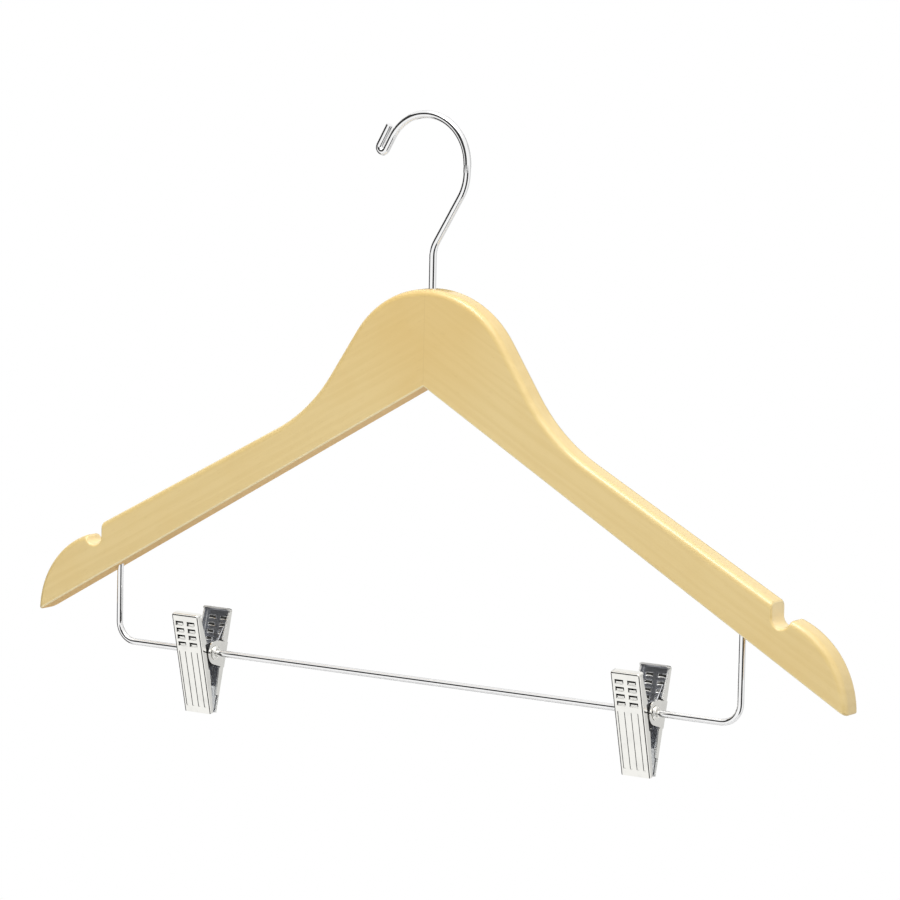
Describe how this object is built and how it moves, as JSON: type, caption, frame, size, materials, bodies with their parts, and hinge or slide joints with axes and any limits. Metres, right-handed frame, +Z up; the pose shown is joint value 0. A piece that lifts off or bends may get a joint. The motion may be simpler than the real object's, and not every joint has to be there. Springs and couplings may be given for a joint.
{
  "type": "skirt hanger",
  "caption": "Flat wooden clothes hanger with a swivelling wire hook, strap notches, and a wire bar below it with sliding sprung clips that grip a skirt or trousers.",
  "frame": {"origin": "on the hook's swivel axis, at the inside of the bow, where the rail carries the hanger", "axes": "+Z up along the swivel axis, +X to the right along the arms, -Y towards the front"},
  "size_m": [0.435, 0.028, 0.2841],
  "materials": {
    "wood": "clear gloss lacquer",
    "dowel_wood": "bare, glued in",
    "chrome_wire": "bright plated wire",
    "chrome_sheet": "bright plated pressed sheet",
    "plain_steel": "plain spring steel",
    "clear_vinyl": "soft clear vinyl"
  },
  "bodies": {
    "hook": {"hook": "chrome_wire", "hook_washer": "plain_steel"},
    "frame": {"left_arm": "wood", "right_arm": "wood", "upper_dowel": "dowel_wood", "lower_dowel": "dowel_wood", "clip_bar": "chrome_wire"},
    "left_slider": {"left_pivot_eyelet": "chrome_sheet"},
    "left_coil": {"left_spring": "plain_steel"},
    "left_front": {"left_front_jaw": "chrome_sheet", "left_front_pad": "clear_vinyl"},
    "left_back": {"left_back_jaw": "chrome_sheet", "left_back_pad": "clear_vinyl"},
    "right_slider": {"right_pivot_eyelet": "chrome_sheet"},
    "right_coil": {"right_spring": "plain_steel"},
    "right_front": {"right_front_jaw": "chrome_sheet", "right_front_pad": "clear_vinyl"},
    "right_back": {"right_back_jaw": "chrome_sheet", "right_back_pad": "clear_vinyl"}
  },
  "joints": [
    {"name": "hook_swivel", "type": "hinge", "parent": "hook", "child": "frame", "pos_m": [0, 0, -0.0749], "axis": [0, 0, 1], "continuous": true},
    {"name": "left_clip_slide", "type": "slide", "parent": "frame", "child": "left_slider", "axis": [1, 0, 0], "range_m": [-0.0296, 0.1147]},
    {"name": "left_clip_swing", "type": "hinge", "parent": "left_slider", "child": "left_coil", "pos_m": [-0.1247, 0, -0.2515], "axis": [1, 0, 0], "continuous": true},
    {"name": "left_front_open", "type": "hinge", "parent": "left_coil", "child": "left_front", "pos_m": [-0.1247, 0, -0.2515], "axis": [-1, 0, 0], "range_deg": [0, 24], "stiffness_Nm_per_rad": 0.05, "springref_deg": -45.84, "deforming": ["left_spring"]},
    {"name": "left_back_open", "type": "hinge", "parent": "left_coil", "child": "left_back", "pos_m": [-0.1247, 0, -0.2515], "axis": [-1, 0, 0], "range_deg": [-24, 0], "deforming": ["left_spring"]},
    {"name": "right_clip_slide", "type": "slide", "parent": "frame", "child": "right_slider", "axis": [1, 0, 0], "range_m": [-0.1032, 0.0316]},
    {"name": "right_clip_swing", "type": "hinge", "parent": "right_slider", "child": "right_coil", "pos_m": [0.1132, 0, -0.2515], "axis": [1, 0, 0], "continuous": true},
    {"name": "right_front_open", "type": "hinge", "parent": "right_coil", "child": "right_front", "pos_m": [0.1132, 0, -0.2515], "axis": [-1, 0, 0], "range_deg": [0, 24], "stiffness_Nm_per_rad": 0.05, "springref_deg": -45.84, "deforming": ["right_spring"]},
    {"name": "right_back_open", "type": "hinge", "parent": "right_coil", "child": "right_back", "pos_m": [0.1132, 0, -0.2515], "axis": [-1, 0, 0], "range_deg": [-24, 0], "deforming": ["right_spring"]}
  ],
  "couplings": [
    {"joint": "left_back_open", "follows": "left_front_open", "ratio": -1},
    {"joint": "right_back_open", "follows": "right_front_open", "ratio": -1}
  ]
}
